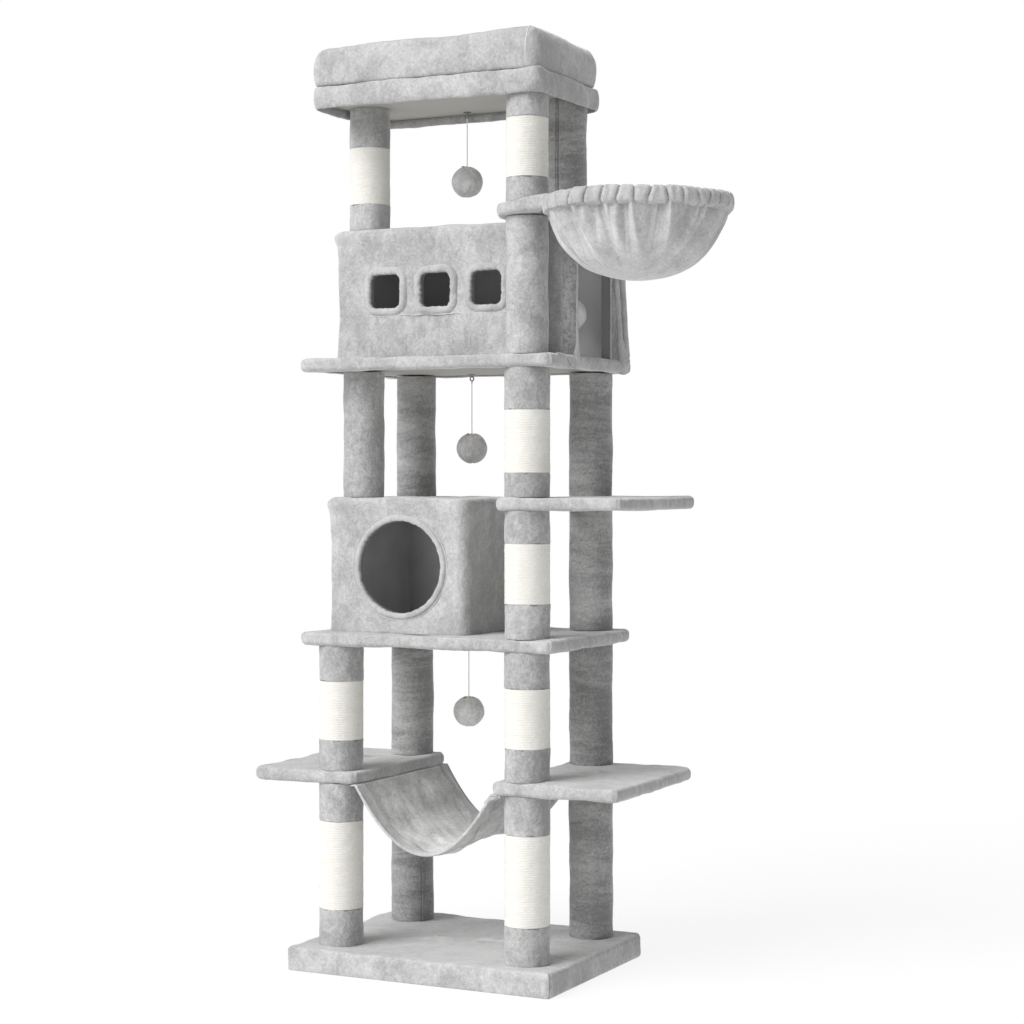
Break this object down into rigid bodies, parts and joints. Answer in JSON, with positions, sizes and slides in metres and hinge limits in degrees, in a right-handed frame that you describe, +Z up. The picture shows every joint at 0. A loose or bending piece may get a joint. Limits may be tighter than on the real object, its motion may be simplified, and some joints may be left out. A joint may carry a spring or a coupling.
{
  "type": "cat tree",
  "caption": "Tall free-standing cat tree with wrapped posts, plush boards, two condos, a hammock, a hooped basket, a raised-rim top perch and hanging toy balls.",
  "frame": {"origin": "centre of the base board's underside, on the floor", "axes": "+Z up, +X to the right of the tree seen from its front, +Y towards its back"},
  "size_m": [0.993, 0.607, 1.755],
  "materials": {
    "plush": "short mottled plush",
    "sisal": "fine wound rope",
    "board": "bare board",
    "cardboard": "wound paper tube",
    "wood_plug": "raw wood",
    "steel": "zinc plated",
    "cord": "twisted white cord",
    "ball_plush": "short grey plush"
  },
  "bodies": {
    "tree": {"base_board": "board", "base_cover": "plush", "base_front_left_post_sleeve": "plush", "base_front_right_post_sleeve": "plush", "base_rear_left_post_sleeve": "plush", "base_rear_right_post_sleeve": "plush", "basket_arm": "plush", "basket_cloth": "plush", "basket_hoop": "steel", "condo_roof_post_sleeve": "plush", "hammock": "plush", "hammock_screws": "steel", "lower_condo_back_wall": "plush", "lower_condo_front_wall": "plush", "lower_condo_roof": "plush", "lower_condo_side_walls": "plush", "lower_front_left_post_sleeve": "plush", "lower_front_right_post_sleeve": "plush", "lower_left_board": "board", "lower_left_cover": "plush", "lower_rear_left_post_sleeve": "plush", "lower_rear_right_post_sleeve": "plush", "lower_right_board": "board", "lower_right_cover": "plush", "middle_board": "board", "middle_cover": "plush", "middle_front_right_post_sleeve": "plush", "middle_rear_right_post_sleeve": "plush", "opening_piping": "plush", "perch_band": "plush", "perch_board": "board", "perch_bolster": "plush", "perch_front_left_post_sleeve": "plush", "perch_front_right_post_sleeve": "plush", "perch_rear_right_post_sleeve": "plush", "post_bolts": "steel", "post_plugs": "wood_plug", "post_tubes": "cardboard", "sisal_wraps": "sisal", "step_board": "board", "step_cover": "plush", "step_front_right_post_sleeve": "plush", "step_rear_right_post_sleeve": "plush", "toy_hooks": "steel", "upper_board": "board", "upper_condo_back_wall": "plush", "upper_condo_door_wall": "plush", "upper_condo_front_wall": "plush", "upper_condo_left_wall": "plush", "upper_condo_roof": "plush", "upper_cover": "plush", "upper_front_right_post_sleeve": "plush"},
    "perch_cord": {"perch_toy_cord": "cord"},
    "perch_ball": {"perch_toy_ball": "ball_plush"},
    "upper_cord": {"upper_toy_cord": "cord"},
    "upper_ball": {"upper_toy_ball": "ball_plush"},
    "middle_cord": {"middle_toy_cord": "cord"},
    "middle_ball": {"middle_toy_ball": "ball_plush"},
    "condo_cord": {"condo_toy_cord": "cord"},
    "condo_ball": {"condo_toy_ball": "ball_plush"}
  },
  "joints": [
    {"name": "perch_toy_swing", "type": "hinge", "parent": "tree", "child": "perch_cord", "pos_m": [-0.034, 0.065, 1.6348], "axis": [0, 1, 0], "range_deg": [-50, 50]},
    {"name": "perch_toy_tilt", "type": "hinge", "parent": "perch_cord", "child": "perch_ball", "pos_m": [-0.034, 0.065, 1.5408], "axis": [1, 0, 0], "range_deg": [-25, 25]},
    {"name": "upper_toy_swing", "type": "hinge", "parent": "tree", "child": "upper_cord", "pos_m": [-0.055, 0.125, 1.1238], "axis": [0, 1, 0], "range_deg": [-50, 16]},
    {"name": "upper_toy_tilt", "type": "hinge", "parent": "upper_cord", "child": "upper_ball", "pos_m": [-0.055, 0.125, 1.0198], "axis": [1, 0, 0], "range_deg": [-25, 25]},
    {"name": "middle_toy_swing", "type": "hinge", "parent": "tree", "child": "middle_cord", "pos_m": [-0.054, 0.11, 0.6028], "axis": [0, 1, 0], "range_deg": [-50, 22]},
    {"name": "middle_toy_tilt", "type": "hinge", "parent": "middle_cord", "child": "middle_ball", "pos_m": [-0.054, 0.11, 0.4988], "axis": [1, 0, 0], "range_deg": [-25, 25]},
    {"name": "condo_toy_swing", "type": "hinge", "parent": "tree", "child": "condo_cord", "pos_m": [0.19, 0.065, 1.3828], "axis": [1, 0, 0], "range_deg": [-16, 16]},
    {"name": "condo_toy_tilt", "type": "hinge", "parent": "condo_cord", "child": "condo_ball", "pos_m": [0.19, 0.065, 1.2728], "axis": [0, 1, 0], "range_deg": [-12, 12]}
  ]
}
